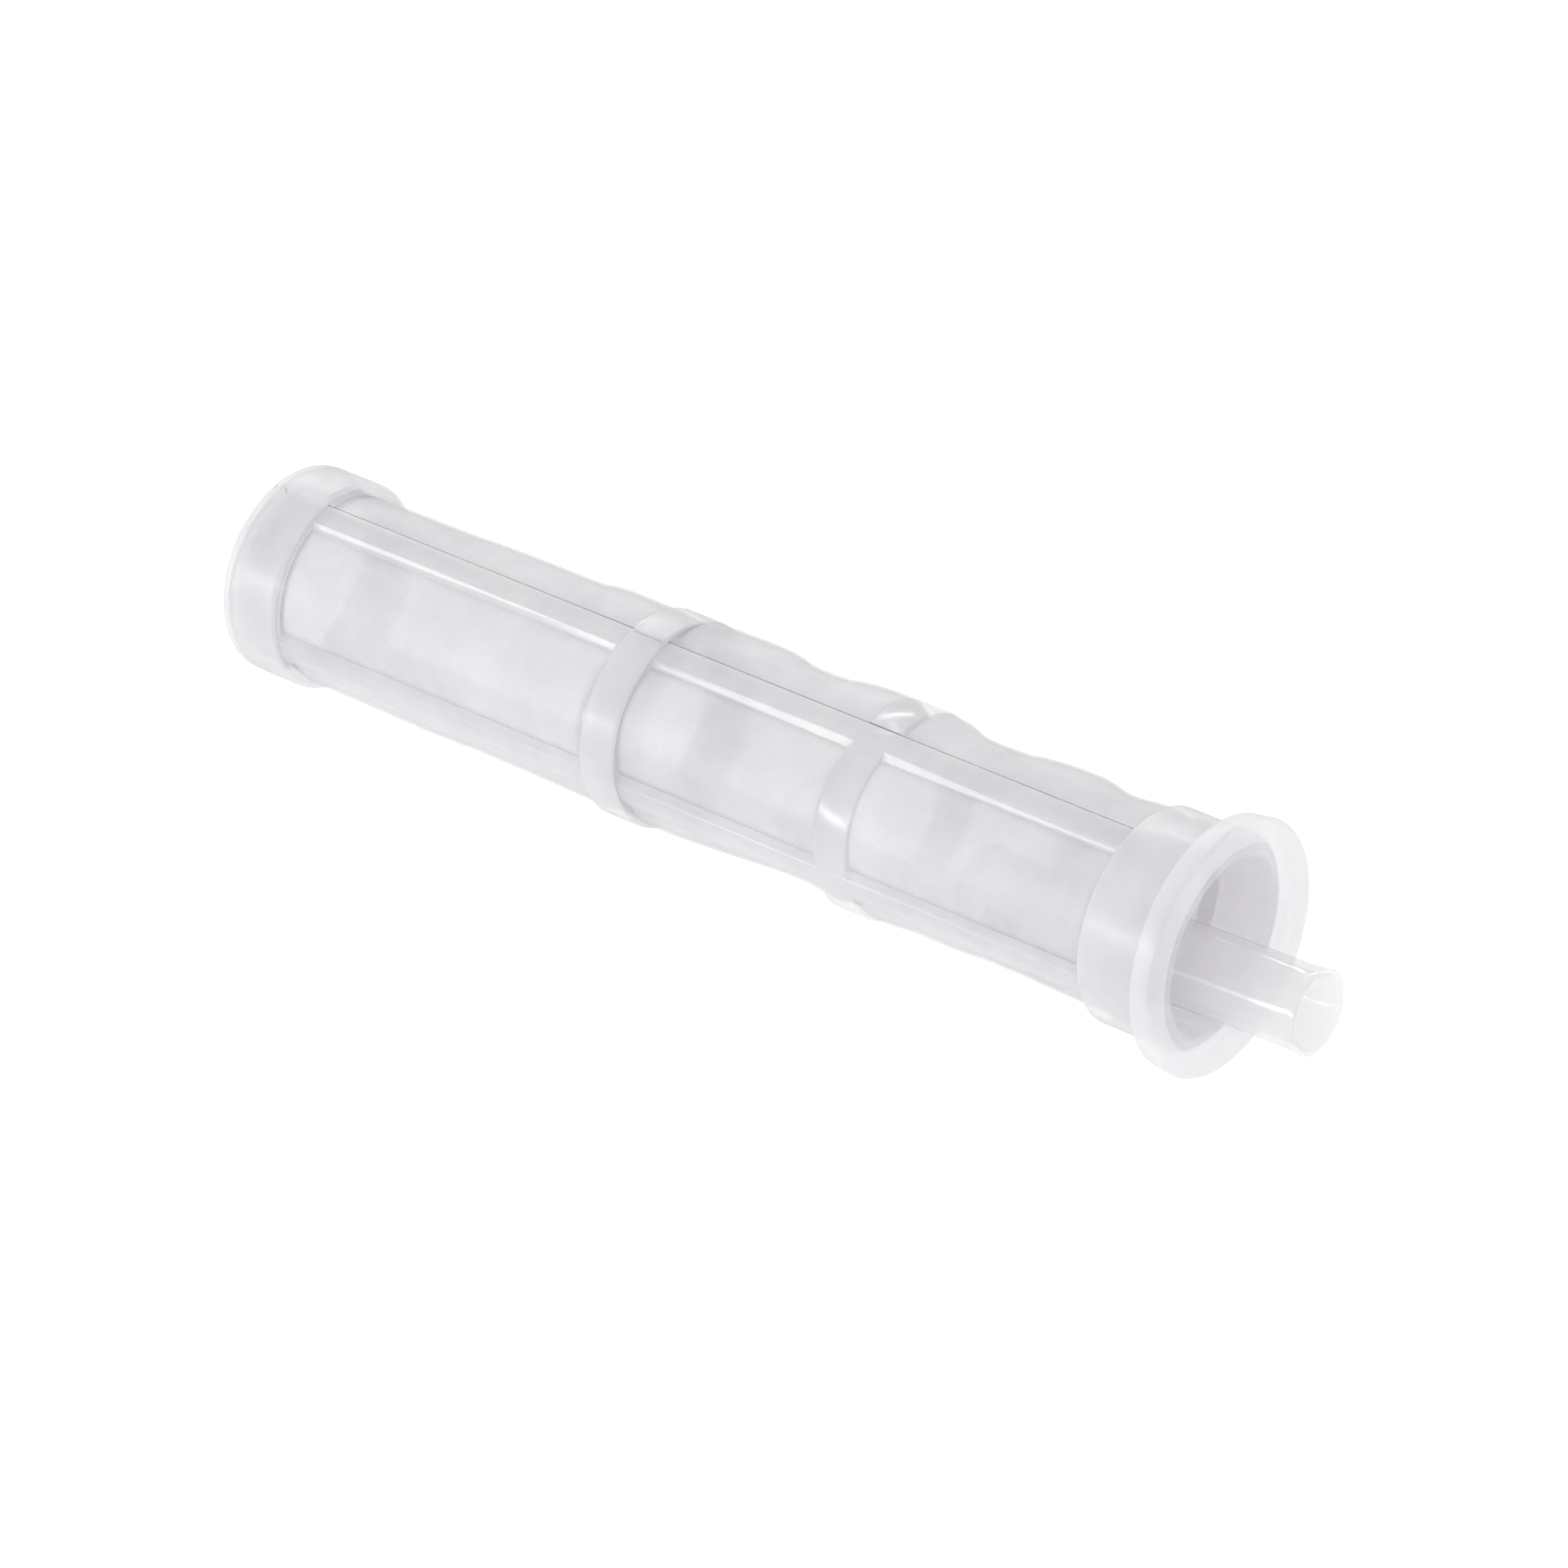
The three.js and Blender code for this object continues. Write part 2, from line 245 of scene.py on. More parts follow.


# %% [markdown]
# ## Milky polypropylene
#
# The cage is moulded polypropylene with no pigment: not clear and not white, but milky. Light gets
# through every wall, so the inside of the mouth is nearly as bright as the outside, and the far wall
# shows faintly through the near one. A rough glass shader bends light as a lens would and comes out dark
# in nested walls. Scattering alone can't cross from one piece to the next. A pale body that covers only
# part of each face, set with Alpha, behaves like layers of tracing paper and stays bright at any depth.
#
# Real milky plastic looks darker round its outline, where the line of sight runs a long way inside the
# wall. A thin skin that absorbs a little light does the same: the shader's Coat Tint deepens at shallow
# angles, and a Coat IOR close to one keeps the skin from adding a mirror of its own.
#
# Three faint noises break the surface up: broad clouds where the wall is thicker or thinner, flow lines
# along the mould, and a very fine grain that only shows in the highlights. The collars, the coupling and
# the flange are thick and satin, while the ribs between them and the lip of the bore are thinner and
# polished, so cover and roughness both follow the distance from the axis.
#
# The top rib has a thin line of painted shade along its upper edge, where its steep side turns the light
# away. Nothing in this finish bends light, so the shade is painted into the colour and the cover by its
# angle about the axis.

# %% Plastic material
SATIN_FROM, SATIN_FULL = RIB_R + 0.03, RIB_R + 0.15
MID_RING_REACH = 2.0
# Where the top rib's painted shade line lies, its painted shade colour and its extra cover
PAINTED_LINE_CENTRE_R, PAINTED_LINE_HALF_DEPTH = RIB_R - 0.2, 0.23
PAINTED_LINE_SHADE, PAINTED_LINE_COVER = (0.16, 0.155, 0.165), 0.45
CLOUD_COVER = 0.08
FAINT_MIRROR = 0.25
SKIN_IOR = 1.005


def cloud_pattern(tree, vector, scale, detail=3.0):
    """Broad soft patches, from 0 to 1."""
    clouds = add_node(tree, "ShaderNodeTexNoise", {"Vector": vector, "Scale": scale, "Detail": detail})
    return add_node(tree, "ShaderNodeMapRange", {
        "Value": clouds.outputs["Fac"], "From Min": 0.3, "From Max": 0.7}).outputs["Result"]


def mixed_colour(tree, share, dark, light):
    """A colour between a dark and a light one."""
    ramp = add_node(tree, "ShaderNodeValToRGB", {"Fac": share})
    ramp.color_ramp.elements[0].color = (*dark, 1)
    ramp.color_ramp.elements[1].color = (*light, 1)
    return ramp.outputs["Color"]


def from_the_axis(tree, place):
    """A place's distance from the filter's axis, its angle from -Y towards +Z, and its x."""
    maths = formula(tree)
    axes = add_node(tree, "ShaderNodeSeparateXYZ", {"Vector": place}).outputs
    side = maths("MULTIPLY", axes["Y"], -1.0)
    up = maths("SUBTRACT", axes["Z"], AXIS_HEIGHT)
    radius = maths("SQRT", maths("ADD", maths("MULTIPLY", side, side), maths("MULTIPLY", up, up)))
    return radius, maths("ARCTAN2", up, side), axes["X"]


def blend(tree, value, low, high, at_low, at_high):
    """A value that goes from one level to another between two limits."""
    node = add_node(tree, "ShaderNodeMapRange", {
        "Value": value, "From Min": low, "From Max": high, "To Min": at_low, "To Max": at_high})
    return node.outputs["Result"]


def painted_rib_shade(tree, radius, angle, x):
    """One on the painted shade line along the top rib's upper edge, where its steep side turns the light
    away.
    """
    maths = formula(tree)
    off_edge = maths("ABSOLUTE", maths("SUBTRACT", angle, RIB_EDGE_ANGLE))
    near_edge = blend(tree, off_edge, PAINTED_LINE_WIDTH / 2, PAINTED_LINE_WIDTH, 1.0, 0.0)
    off_side = maths("ABSOLUTE", maths("SUBTRACT", radius, PAINTED_LINE_CENTRE_R * MM))
    on_ribs = maths("LESS_THAN", off_side, PAINTED_LINE_HALF_DEPTH * MM)
    before_collar = maths("LESS_THAN", x, FAR_END + NEAR_COLLAR_START * MM)
    return maths("MULTIPLY", maths("MULTIPLY", near_edge, on_ribs), before_collar)


def thick_ring(tree, radius, x):
    """One on the collars, the coupling and the flange, and nothing on the ribs and the middle ring."""
    maths = formula(tree)
    outside = blend(tree, radius, SATIN_FROM * MM, SATIN_FULL * MM, 0.0, 1.0)
    off_middle = maths("ABSOLUTE", maths("SUBTRACT", x, FAR_END + sum(MID_RING) / 2 * MM))
    return maths("MULTIPLY", outside, maths("GREATER_THAN", off_middle, MID_RING_REACH * MM))


def with_painted_shade_line(tree, line, base):
    """The base colour with the painted shade line over it. A Mix node's colours are its inputs 6 and 7."""
    mix = add_node(tree, "ShaderNodeMix", data_type="RGBA")
    feed(tree, mix.inputs[0], line)
    feed(tree, mix.inputs[6], base)
    mix.inputs[7].default_value = (*PAINTED_LINE_SHADE, 1)
    return mix.outputs[2]


def milky_body(shader, ior, scatter, mirror, skin):
    """The parts of the finish that are the same all over."""
    shader.inputs["Specular IOR Level"].default_value = mirror
    shader.inputs["Coat Weight"].default_value = 1.0
    shader.inputs["Coat IOR"].default_value = SKIN_IOR
    shader.inputs["Coat Tint"].default_value = (skin, skin, skin, 1)
    shader.inputs["IOR"].default_value = ior
    shader.inputs["Subsurface Weight"].default_value = scatter
    shader.inputs["Subsurface Radius"].default_value = (1.0, 0.95, 1.0)
    shader.inputs["Subsurface Scale"].default_value = 0.4 * MM


def plastic(name, dark, light, roughness, cover, cloud_scale=140.0, grain=0.12, mirror=FAINT_MIRROR,
            skin=0.97):
    """A milky moulded plastic. Roughness and cover are pairs: for the thin parts, and for the thick rings."""
    material = bpy.data.materials.new(name)
    material.use_nodes = True
    tree = material.node_tree
    maths = formula(tree)
    shader = tree.nodes["Principled BSDF"]
    place = add_node(tree, "ShaderNodeTexCoord").outputs["Object"]
    clouds = cloud_pattern(tree, place, cloud_scale)
    radius, angle, x = from_the_axis(tree, place)
    # Painted shade: a dark line along the top rib's upper edge, in the colour and in the cover
    line = painted_rib_shade(tree, radius, angle, x)
    ring = thick_ring(tree, radius, x)
    feed(tree, shader.inputs["Base Color"], with_painted_shade_line(tree, line, mixed_colour(tree, clouds, dark, light)))
    # Cover from the wall's thickness, plus more cover on the painted shade line
    thickness = maths("ADD", blend(tree, ring, 0.0, 1.0, *cover), maths("MULTIPLY", line, PAINTED_LINE_COVER))
    feed(tree, shader.inputs["Alpha"], maths("ADD", thickness, maths("MULTIPLY", clouds, CLOUD_COVER)))
    along = add_node(tree, "ShaderNodeMapping", {"Vector": place, "Scale": (60.0, 900.0, 900.0)})
    flow = add_node(tree, "ShaderNodeTexNoise",
                    {"Vector": along.outputs["Vector"], "Scale": 1.0, "Detail": 2.0})
    fine = add_node(tree, "ShaderNodeTexNoise", {"Vector": place, "Scale": 5200.0, "Detail": 2.0})
    height = maths("ADD", maths("MULTIPLY", flow.outputs["Fac"], 0.8),
                   maths("MULTIPLY", fine.outputs["Fac"], 0.2))
    bump = add_node(tree, "ShaderNodeBump", {"Height": height, "Strength": grain, "Distance": 0.05 * MM})
    feed(tree, shader.inputs["Normal"], bump.outputs["Normal"])
    uneven = maths("SUBTRACT", maths("MULTIPLY", flow.outputs["Fac"], 0.12), 0.06)
    smooth = blend(tree, ring, 0.0, 1.0, *roughness)
    feed(tree, shader.inputs["Roughness"], maths("ADD", smooth, uneven))
    milky_body(shader, 1.49, 0.3, mirror, skin)
    return material


cage_plastic = plastic("milky_polypropylene", dark=(0.86, 0.85, 0.872), light=(0.945, 0.935, 0.95),
                       roughness=(0.20, 0.40), cover=(0.34, 0.54))
# The mouth piece is the cage's plastic painted a little lighter: painted light that keeps the inside of the
# bore bright
lightened_mouth_plastic = plastic("lightened_mouth_polypropylene", dark=(0.885, 0.875, 0.897), light=(0.955, 0.945, 0.96),
                        roughness=(0.20, 0.40), cover=(0.20, 0.54), skin=0.978)
seal_rubber = plastic("seal_elastomer", dark=(0.92, 0.91, 0.925), light=(0.97, 0.96, 0.97),
                      roughness=(0.55, 0.6), cover=(0.34, 0.34), cloud_scale=260.0, grain=0.3, skin=0.99)
tube_plastic = plastic("glossy_tubing", dark=(0.90, 0.89, 0.91), light=(0.96, 0.95, 0.965),
                       roughness=(0.09, 0.09), cover=(0.36, 0.36), cloud_scale=90.0, grain=0.05,
                       mirror=0.45, skin=0.965)
print("plastics:", cage_plastic.name, lightened_mouth_plastic.name, seal_rubber.name, tube_plastic.name)

# %% [markdown]
# ## Nylon mesh
#
# The filter cloth is plain-woven nylon, a few threads to the millimetre. Real holes would need hundreds
# of thousands of faces. Two crossed sine waves on the cloth's own UV map, which is laid out in metres,
# raise the threads where they pass over each other, and the same pattern opens the gaps between them. The
# cloth is slack, so it also has broad milky and clear clouds where it comes near what is behind it or
# leaves it.

# %% Mesh material
THREADS_PER_METRE = 3600.0


def woven_mesh(name, dark, light, cover):
    """Slack woven cloth: crossed threads in relief and cover, broad clouds in colour and cover."""
    material = bpy.data.materials.new(name)
    material.use_nodes = True
    tree = material.node_tree
    maths = formula(tree)
    shader = tree.nodes["Principled BSDF"]
    coordinates = add_node(tree, "ShaderNodeTexCoord")
    uv = add_node(tree, "ShaderNodeSeparateXYZ", {"Vector": coordinates.outputs["UV"]})
    half_thread = math.pi * THREADS_PER_METRE
    warp = maths("SINE", maths("MULTIPLY", uv.outputs["X"], half_thread))
    weft = maths("SINE", maths("MULTIPLY", uv.outputs["Y"], half_thread))
    raised = maths("ABSOLUTE", maths("MULTIPLY", warp, weft))
    clouds = cloud_pattern(tree, coordinates.outputs["Object"], 130.0, 3.0)
    feed(tree, shader.inputs["Base Color"], mixed_colour(tree, clouds, dark, light))
    milkiness = maths("ADD", maths("MULTIPLY", clouds, 0.12), cover - 0.08)
    feed(tree, shader.inputs["Alpha"], maths("ADD", milkiness, maths("MULTIPLY", raised, 0.03)))
    bump = add_node(tree, "ShaderNodeBump", {"Height": raised, "Strength": 0.12, "Distance": 0.04 * MM})
    feed(tree, shader.inputs["Normal"], bump.outputs["Normal"])
    feed(tree, shader.inputs["Roughness"], maths("SUBTRACT", 0.65, maths("MULTIPLY", raised, 0.12)))
    milky_body(shader, 1.53, 0.2, FAINT_MIRROR, 0.975)
    return material


nylon = woven_mesh("nylon_mesh", dark=(0.84, 0.83, 0.852), light=(0.94, 0.93, 0.945), cover=0.47)
print("cloth:", nylon.name, "with", THREADS_PER_METRE * MM, "threads to the millimetre")

# %% [markdown]
# ## Bars bent round the axis
#
# The four ribs are the same bar four times over, and so are the four pieces of the middle ring between
# them, so one Geometry Nodes tree makes both. A plain box is bent round the axis by a formula: its x
# becomes the station, its y the angle and its z the radius. Making the angle narrower towards the top
# gives the bevelled sides that catch the light. The bar is then instanced at equal turns.

# %% Geometry Nodes: bent bars
def shape_tree(title, inputs):
    """A Geometry Nodes tree with named inputs, and its input and output nodes."""
    tree = bpy.data.node_groups.new(title, "GeometryNodeTree")
    tree.interface.new_socket("Geometry", in_out="OUTPUT", socket_type="NodeSocketGeometry")
    for name, value in inputs.items():
        kinds = {int: "NodeSocketInt", float: "NodeSocketFloat", bpy.types.Material: "NodeSocketMaterial"}
        socket = tree.interface.new_socket(name, in_out="INPUT", socket_type=kinds[type(value)])
        socket.default_value = value
    source = tree.nodes.new("NodeGroupInput").outputs
    return tree, source, tree.nodes.new("NodeGroupOutput")


def shaped(name, tree, values):
    """The plain mesh that a tree makes from these values."""
    obj = working_object(bpy.data.meshes.new(name), name)
    modifier = obj.modifiers.new("shape", "NODES")
    modifier.node_group = tree
    for item in tree.interface.items_tree:
        if item.in_out == "INPUT" and item.name in values:
            modifier[item.identifier] = values[item.name]
    return evaluated_mesh(obj)


def on_axis(tree, station, radius, angle):
    """A position from a station along X, a radius and an angle from -Y towards +Z."""
    maths = formula(tree)
    side = maths("MULTIPLY", maths("MULTIPLY", radius, maths("COSINE", angle)), -1.0)
    up = maths("MULTIPLY", radius, maths("SINE", angle))
    return add_node(tree, "ShaderNodeCombineXYZ", {"X": station, "Y": side, "Z": up}).outputs["Vector"]


def bent_bar_tree():
    """Bars bent round the axis, the same one at equal turns."""
    tree, given, output = shape_tree("bent bars", {
        "Start": 0.0, "End": 0.01, "Foot Radius": 0.0075, "Top Radius": 0.008, "Half Angle": 0.2,
        "Bevel Angle": 0.08, "Crown": 0.0, "First Angle": 0.0, "Count": RIB_COUNT, "Material": cage_plastic,
    })
    maths = formula(tree)
    box = add_node(tree, "GeometryNodeMeshCube",
                   {"Size": (1.0, 1.0, 1.0), "Vertices X": 2, "Vertices Y": 17, "Vertices Z": 2})
    place = add_node(tree, "GeometryNodeInputPosition").outputs["Position"]
    corner = add_node(tree, "ShaderNodeSeparateXYZ", {"Vector": place}).outputs
    lift = maths("ADD", corner["Z"], 0.5)
    length = maths("SUBTRACT", given["End"], given["Start"])
    station = maths("ADD", given["Start"], maths("MULTIPLY", length, maths("ADD", corner["X"], 0.5)))
    half = maths("SUBTRACT", given["Half Angle"], maths("MULTIPLY", given["Bevel Angle"], lift))
    turn = maths("MULTIPLY", maths("MULTIPLY", half, 2.0), corner["Y"])
    height = maths("SUBTRACT", given["Top Radius"], given["Foot Radius"])
    crown = maths("MULTIPLY", given["Crown"], maths("COSINE", maths("MULTIPLY", corner["Y"], math.pi)))
    raised = maths("MULTIPLY", maths("ADD", height, crown), lift)
    radius = maths("ADD", given["Foot Radius"], raised)
    bent = add_node(tree, "GeometryNodeSetPosition", {
        "Geometry": box.outputs["Mesh"],
        "Position": on_axis(tree, station, radius, maths("ADD", given["First Angle"], turn)),
    })
    points = add_node(tree, "GeometryNodeMeshLine", {"Count": given["Count"], "Offset": (0.0, 0.0, 0.0)})
    share = maths("DIVIDE", 2 * math.pi, given["Count"])
    index = add_node(tree, "GeometryNodeInputIndex").outputs["Index"]
    euler = add_node(tree, "ShaderNodeCombineXYZ", {"X": maths("MULTIPLY", share, index)})
    rotation = add_node(tree, "FunctionNodeEulerToRotation", {"Euler": euler.outputs["Vector"]})
    copies = add_node(tree, "GeometryNodeInstanceOnPoints", {
        "Points": points.outputs["Mesh"], "Instance": bent.outputs["Geometry"],
        "Rotation": rotation.outputs["Rotation"],
    })
    real = add_node(tree, "GeometryNodeRealizeInstances", {"Geometry": copies.outputs["Instances"]})
    painted = add_node(tree, "GeometryNodeSetMaterial",
                       {"Geometry": real.outputs["Geometry"], "Material": given["Material"]})
    feed(tree, output.inputs["Geometry"], painted.outputs["Geometry"])
    return tree


bars = bent_bar_tree()


def ribs(start, end):
    """All the ribs between two stations."""
    return shaped("ribs", bars, {
        "Start": start * MM, "End": end * MM, "Foot Radius": (CAGE_BORE_R + 0.04) * MM,
        "Top Radius": RIB_R * MM, "Half Angle": RIB_FOOT / 2, "Bevel Angle": RIB_BEVEL,
        "First Angle": RIB_PHASE,
    })


# %% [markdown]
# ## The closed end
#
# The cap is a disc with a rounded rim and a shallow panel. Its spigot goes inside the far collar and
# holds the mesh. It is turned from one outline.

# %% End cap
RIM_ROUND = 0.9
cap = turned("end_cap_piece", [
    (CAP_RIM + 0.4, 0), (CAP_RIM + 0.4, 6.55), (FAR_COLLAR_END - 0.5, 6.55), (FAR_COLLAR_END - 0.3, 6.7),
    (FAR_COLLAR_END - 0.3, 7.05), (FAR_COLLAR_END - 0.4, 7.15), (CAP_RIM, 7.15),
    (CAP_RIM, FAR_COLLAR_R - 0.3), (CAP_RIM - 0.1, FAR_COLLAR_R - 0.05),
    *arc(RIM_ROUND, FAR_COLLAR_R - RIM_ROUND, RIM_ROUND, 90, 180, 10),
    *arc(0.2, 6.2, 0.2, 180, 270, 3), (0.35, 5.6), (0.35, 0),
])
finished("end_cap_piece", cap, cage_plastic, "milky_plastic", "cage", "end_cap")

# %% [markdown]
# ## The far half of the cage
#
# The collar and the hoop that plugs into the other half are turned, the ribs come from the tree, and an
# exact Boolean joins them into one closed shell, as the mould does. The ribs' ends run a little way into
# the rings, so that no two faces lie on each other.

# %% Far cage
SOCKET_R = 7.8
far_collar = turned("far_collar", [
    (CAP_RIM + 0.05, CAGE_BORE_R), (CAP_RIM + 0.05, FAR_COLLAR_R - 0.3), (CAP_RIM + 0.2, FAR_COLLAR_R),
    *arc(FAR_COLLAR_END - 0.45, FAR_COLLAR_R - 0.45, 0.45, 90, 0),
    *arc(FAR_COLLAR_END + 0.25, RIB_R - 0.05, 0.25, 180, 250, 4),
    (FAR_COLLAR_END, CAGE_BORE_R),
])
far_hoop = turned("far_hoop", [
    (COUPLING[0] - 0.35, CAGE_BORE_R), (COUPLING[0] - 0.35, RIB_R - 0.1), (COUPLING[0] - 0.05, RIB_R - 0.1),
    (COUPLING[0] - 0.05, SOCKET_R - 0.05), (COUPLING[0] + 2.4, SOCKET_R - 0.05),
    (COUPLING[0] + 2.5, SOCKET_R - 0.15), (COUPLING[0] + 2.5, CAGE_BORE_R),
])
far_ribs = softened(ribs(FAR_COLLAR_END - 0.5, COUPLING[0] - 0.1), 0.07)
far_shell = united("far_shell", [far_collar, far_hoop, far_ribs])
finished("far_cage_piece", far_shell, cage_plastic, "milky_plastic", "cage", "far_cage", sharp_deg=30)

# %% [markdown]
# ## The near half of the cage
#
# The same ribs run from the coupling ring to the near collar. The middle ring is four bars from the same
# tree, one for each window, because the upper window's bar stands out more than the others.

# %% Near cage
coupling = turned("coupling", [
    (COUPLING[0], SOCKET_R), (COUPLING[0], COUPLING_R - 0.15), (COUPLING[0] + 0.12, COUPLING_R),
    *arc(COUPLING[1] - 0.2, COUPLING_R - 0.2, 0.2, 90, 0, 4), (COUPLING[1], CAGE_BORE_R),
    (COUPLING[0] + 2.55, CAGE_BORE_R), (COUPLING[0] + 2.55, SOCKET_R),
])
near_collar = turned("near_collar", [
    (NEAR_COLLAR_START, CAGE_BORE_R), *arc(NEAR_COLLAR_START + 0.3, NEAR_COLLAR_R - 0.3, 0.3, 180, 90, 4),
    (COLLAR_SEAT - 0.05, NEAR_COLLAR_R), (COLLAR_SEAT - 0.05, 7.85), (MESH_END + 0.05, 7.85),
    (MESH_END + 0.05, CAGE_BORE_R),
])
QUARTER_TURN = 360 / RIB_COUNT
RING_HALF_ANGLE = math.radians(QUARTER_TURN / 2 - 6.2)
RING_CROWNS = (0.40, 0.02, 0.06, 0.15)  # upper, far side, under, near side


def ring_bar(index, crown):
    """The middle ring's bar in one window, crowned by some millimetres."""
    bar = shaped("ring_bar", bars, {
        "Start": MID_RING[0] * MM, "End": MID_RING[1] * MM, "Foot Radius": (CAGE_BORE_R + 0.02) * MM,
        "Top Radius": (RIB_R - 0.03) * MM, "Half Angle": RING_HALF_ANGLE, "Bevel Angle": 0.0,
        "Crown": crown * MM, "First Angle": RIB_PHASE + math.radians(QUARTER_TURN * (index + 0.5)),
        "Count": 1,
    })
    return softened(bar, 0.08)


near_shell = united("near_shell", [
    coupling, near_collar, softened(ribs(COUPLING[1] - 0.3, NEAR_COLLAR_START + 0.4), 0.07),
    *(ring_bar(index, crown) for index, crown in enumerate(RING_CROWNS)),
])
finished("near_cage_piece", near_shell, cage_plastic, "milky_plastic", "cage", "near_cage", sharp_deg=30)

# %% [markdown]
# ## The mouth
#
# The flange, the barrel inside the near collar and the spigot that holds the mesh are one turned piece.
# The bore's front edge is a generous round, so that light runs off it softly.

# %% Mouth flange
LIP = 0.85
mouth = turned("mouth_flange_piece", [
    (77.9, 6.25), (77.9, 7.05), (78.0, 7.15), (MESH_END + 0.1, 7.15), (MESH_END + 0.1, 7.8),
    (COLLAR_SEAT, 7.8), (COLLAR_SEAT, NEAR_COLLAR_R + 0.05), (FLANGE_BACK, NEAR_COLLAR_R + 0.05),
    *arc(FLANGE_BACK + 0.15, FLANGE_BACK_R - 0.12, 0.15, 180, 95, 3),
    *arc(BODY_LENGTH - 0.42, FLANGE_R - 0.42, 0.42, 86, 0, 8),
    *arc(BODY_LENGTH - LIP, MOUTH_BORE_R + LIP, LIP, 0, -90, 12),
    (78.4, MOUTH_BORE_R), (78.4, 6.25),
])
finished("mouth_flange_piece", mouth, lightened_mouth_plastic, "milky_plastic", "cage", "mouth_flange")

# %% [markdown]
# ## The inlet tube
#
# The tube is turned on its own axis, which crosses the flange's face below the middle and points up by
# two degrees. Its mouth is belled a little. The stop bead on the inner end stays out of sight inside the
# cage.

# %% Inlet tube
TUBE_R, TUBE_BORE_R, TUBE_MOUTH_R = 3.15, 2.65, 3.32
TUBE_OUT, TUBE_IN, TUBE_DROP = 7.7, 22.5, 2.55
TUBE_TILT = math.radians(2)
tube = turned("inlet_tube_piece", [
    (-TUBE_IN, TUBE_BORE_R), (-TUBE_IN, TUBE_R - 0.05), *arc(-TUBE_IN + 0.6, TUBE_R - 0.05, 0.3, 150, 30, 6),
    (-TUBE_IN + 1.2, TUBE_R), (TUBE_OUT - 1.8, TUBE_R), (TUBE_OUT - 1.1, TUBE_R + 0.02),
    (TUBE_OUT - 0.5, TUBE_R + 0.08), *arc(TUBE_OUT - 0.12, TUBE_MOUTH_R - 0.12, 0.12, 80, 0, 4),
    *arc(TUBE_OUT - 0.1, TUBE_MOUTH_R - 0.28, 0.1, 0, -80, 4), (TUBE_OUT - 0.6, TUBE_BORE_R + 0.1),
    (TUBE_OUT - 1.4, TUBE_BORE_R + 0.02), (TUBE_OUT - 2.2, TUBE_BORE_R),
], steps=96)
tube_start = Matrix.Translation((BODY_LENGTH * MM, 0, -TUBE_DROP * MM))
tube_home = HOME @ tube_start @ Matrix.Rotation(-TUBE_TILT, 4, "Y")
finished("inlet_tube_piece", tube, tube_plastic, "clear_tube", "tube", "inlet_tube", home=tube_home)

# %% [markdown]
# ## The mesh sleeves
#
# Each sleeve is a tube of slack cloth held at the ribs and the rings. A cloth simulation could blow it
# out between them, but its shape follows a simple rule: nothing under a rib, most in the middle of a
# window, and more or less slack from place to place. So a Geometry Nodes tree bends a grid round the axis
# and lifts it by that rule. Two curves say how slack the cloth is along the sleeve, one for the upper
# side and one for the lower, and a little seeded noise wrinkles it. The tree writes the UV map in metres
# for the weave.

# %% Geometry Nodes: slack sleeve
SLACK_FULL = 1.2  # millimetres to one unit of the curves
CURVE_ZERO = 0.1  # the value for no slack, so that a curve can dip below it
CLOTH_TUCK = 0.3  # how far inside a ring the cloth starts to rise
UPPER_SIDE = math.radians(127)  # where the upper curve holds; the lower one holds opposite
PILLOW = 0.6  # below one, the cloth is fuller near the ribs
CLOTH_THICKNESS = 0.15


def slack_curve(tree, fraction, stops):
    """How far the cloth stands out, as a curve over the body's length. Stops are (station, millimetres)."""
    node = add_node(tree, "ShaderNodeFloatCurve", {"Value": fraction})
    points = node.mapping.curves[0].points
    for point, (s, out) in zip((points[0], points[-1]), (stops[0], stops[-1])):
        point.location = (s / BODY_LENGTH, CURVE_ZERO + out / SLACK_FULL)
    for s, out in stops[1:-1]:
        points.new(s / BODY_LENGTH, CURVE_ZERO + out / SLACK_FULL)
    node.mapping.update()
    return formula(tree)("SUBTRACT", node.outputs["Value"], CURVE_ZERO)


def held_between(tree, station, start, end, edge):
    """Nothing at both ends of a window row, rising to one within the edge distance."""
    maths = formula(tree)
    first = maths("DIVIDE", maths("SUBTRACT", station, start), edge)
    last = maths("DIVIDE", maths("SUBTRACT", end, station), edge)
    rise = maths("MINIMUM", maths("MINIMUM", first, last), 1.0)
    return maths("SQRT", maths("MAXIMUM", rise, 0.0))


